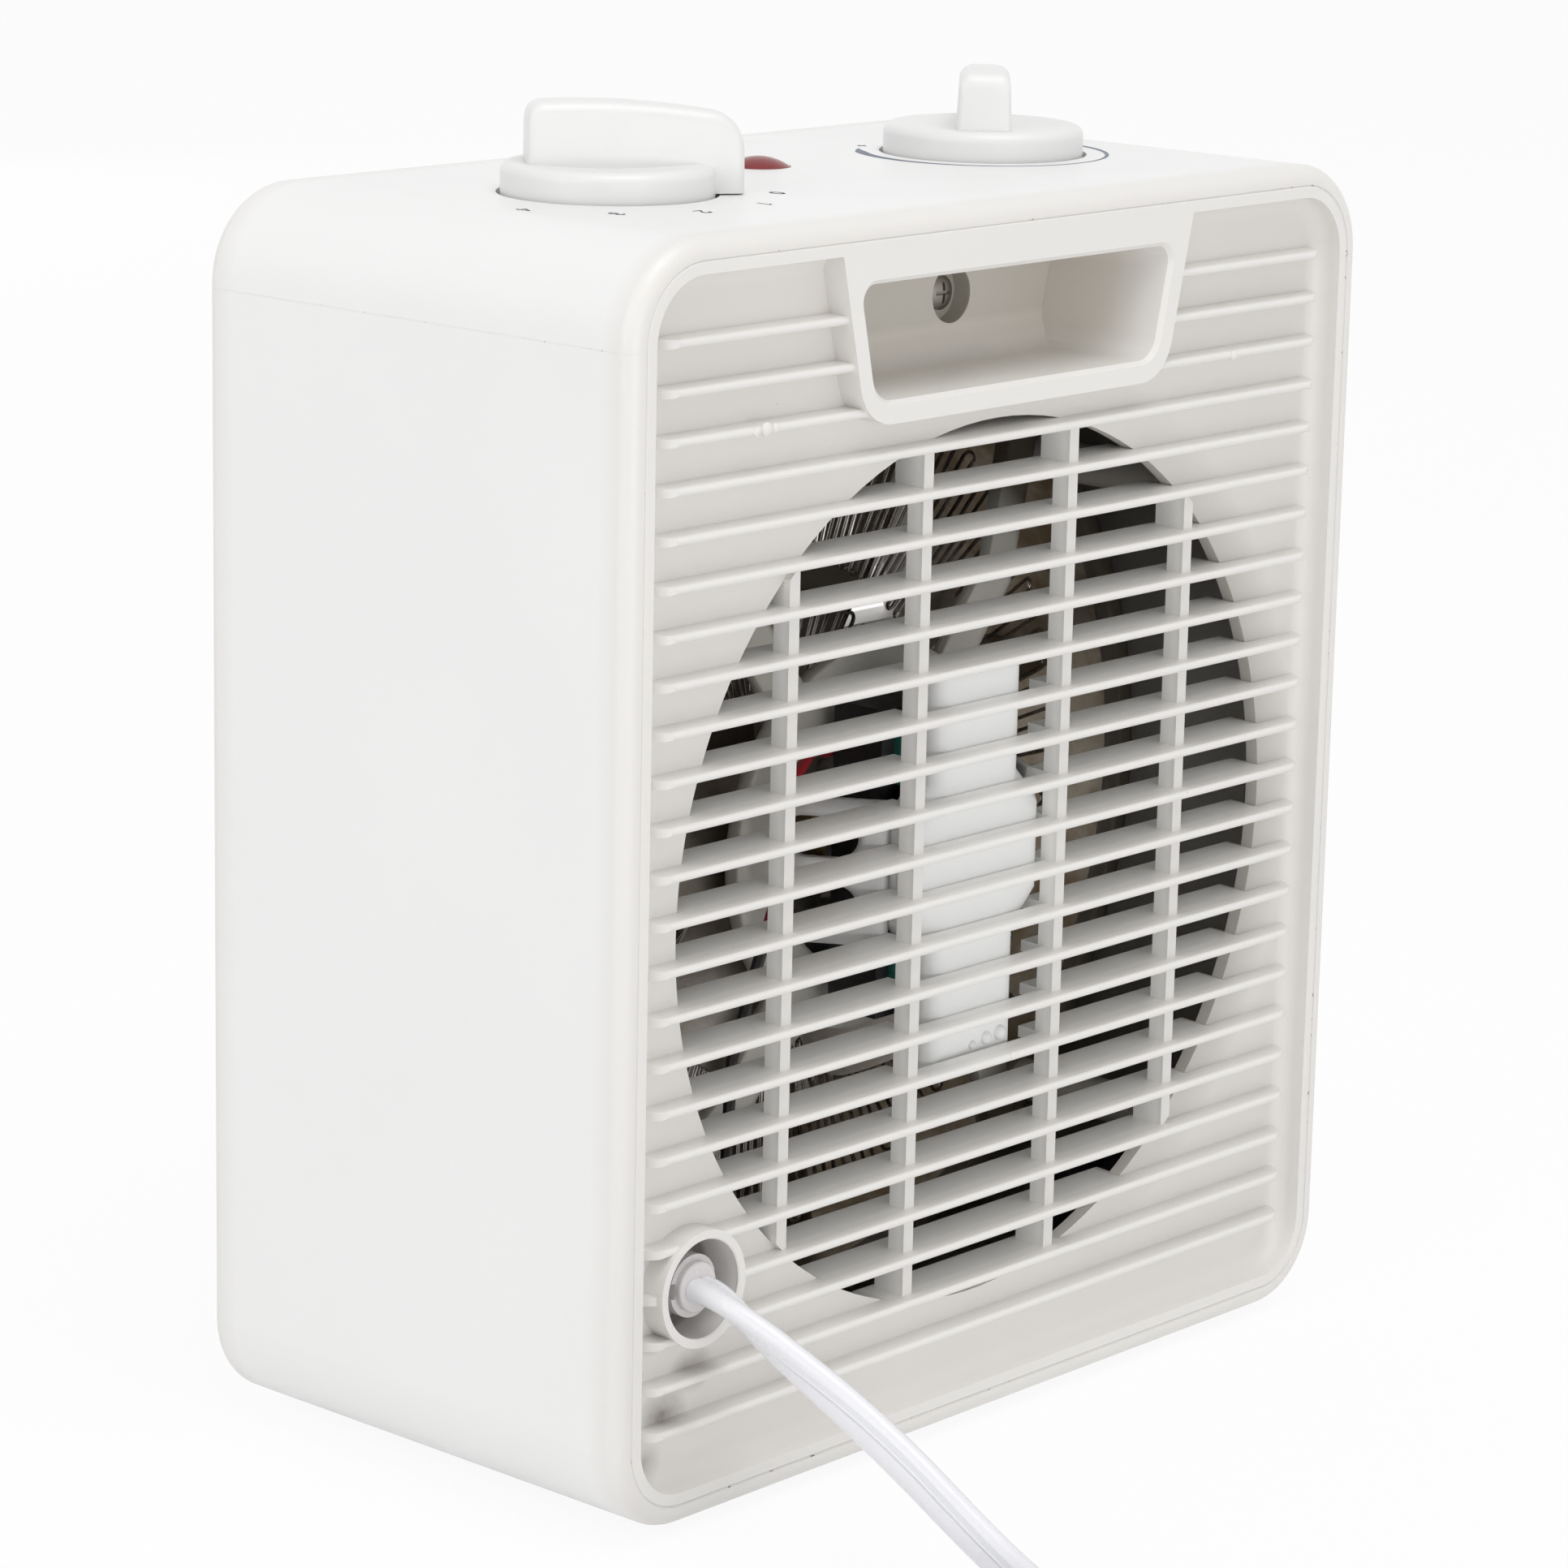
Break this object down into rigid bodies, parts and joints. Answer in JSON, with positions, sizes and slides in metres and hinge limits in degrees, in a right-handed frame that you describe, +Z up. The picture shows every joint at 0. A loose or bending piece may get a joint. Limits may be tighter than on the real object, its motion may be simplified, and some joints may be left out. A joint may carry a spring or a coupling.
{
  "type": "portable fan heater",
  "caption": "Free-standing compact fan heater with louvred back, finger grip, two rotary controls, a motor-driven fan, zigzag heating wires and a coiled mains cord.",
  "frame": {"origin": "middle of the heater's footprint on the surface it stands on, cord left out", "axes": "+Z up; -Y is the front with the warm-air outlet; +Y is the louvred back with the grip pocket and the cord; X runs across the width, with the cord outlet and the selector knob at +X"},
  "size_m": [0.2855, 0.2767, 0.253],
  "materials": {
    "casing_plastic": "fine satin moulded white",
    "panel_plastic": "fine satin moulded warm off-white",
    "knob_plastic": "semi-gloss moulded white",
    "inner_plastic": "satin moulded white",
    "switch_plastic": "black moulded phenolic",
    "foot_rubber": "soft matt rubber",
    "screw_steel": "bright zinc plate",
    "lamination_steel": "dark stacked laminations",
    "coil_tape": "teal polyester tape",
    "fan_aluminium": "dull oxidised sheet",
    "shield_steel": "plated sheet, heat-tinted",
    "mica": "brown flaky mica sheet",
    "heating_wire": "oxidised resistance wire",
    "steatite": "pale ceramic",
    "brass": "plain brass",
    "lens_red": "clear red moulded lens",
    "lamp_glass": "small glow lamp",
    "lead_insulation": "pale lead insulation",
    "lead_red": "red lead insulation",
    "cord_vinyl": "white flexible vinyl",
    "tie_plastic": "white coated wire tie"
  },
  "bodies": {
    "casing": {"side_body": "casing_plastic", "top_cover": "casing_plastic", "rear_panel": "panel_plastic", "front_grille": "panel_plastic", "feet": "foot_rubber", "base_screws": "screw_steel", "pocket_screw": "screw_steel", "selector_switch": "switch_plastic", "thermostat": "steatite", "control_screws": "screw_steel", "pilot_lens": "lens_red", "pilot_lamp": "lamp_glass", "motor_cover": "inner_plastic", "motor_core": "lamination_steel", "motor_coils": "coil_tape", "motor_brackets": "screw_steel", "motor_screws": "screw_steel", "motor_spider": "inner_plastic", "spider_screws": "screw_steel", "heat_shield": "shield_steel", "mica_star": "mica", "outer_heating_wire": "heating_wire", "inner_heating_wire": "heating_wire", "element_terminals": "brass", "thermal_cutout": "shield_steel", "tilt_switch": "switch_plastic", "terminal_block": "steatite", "line_leads": "lead_insulation", "motor_lead": "lead_red", "element_leads": "lead_insulation", "lamp_lead": "lead_insulation", "strain_relief": "cord_vinyl", "supply_cord": "cord_vinyl", "cord_coil": "cord_vinyl", "cord_tie": "tie_plastic", "plug_body": "cord_vinyl", "plug_blades": "brass"},
    "selector": {"selector_knob": "knob_plastic", "selector_spindle": "knob_plastic"},
    "thermostat_control": {"thermostat_knob": "knob_plastic", "thermostat_spindle": "brass"},
    "fan": {"rotor": "lamination_steel", "fan_shaft": "screw_steel", "fan_hub": "brass", "fan_blades": "fan_aluminium", "fan_clip": "screw_steel"}
  },
  "joints": [
    {"name": "selector_turn", "type": "hinge", "parent": "casing", "child": "selector", "pos_m": [0.0531, -0.00125, 0.236], "axis": [0, 0, 1], "range_deg": [-124, 0]},
    {"name": "thermostat_turn", "type": "hinge", "parent": "casing", "child": "thermostat_control", "pos_m": [-0.0531, -0.00125, 0.236], "axis": [0, 0, 1], "range_deg": [-280, 0]},
    {"name": "fan_spin", "type": "hinge", "parent": "casing", "child": "fan", "pos_m": [0, 0.0095, 0.11], "axis": [0, 1, 0], "continuous": true}
  ]
}
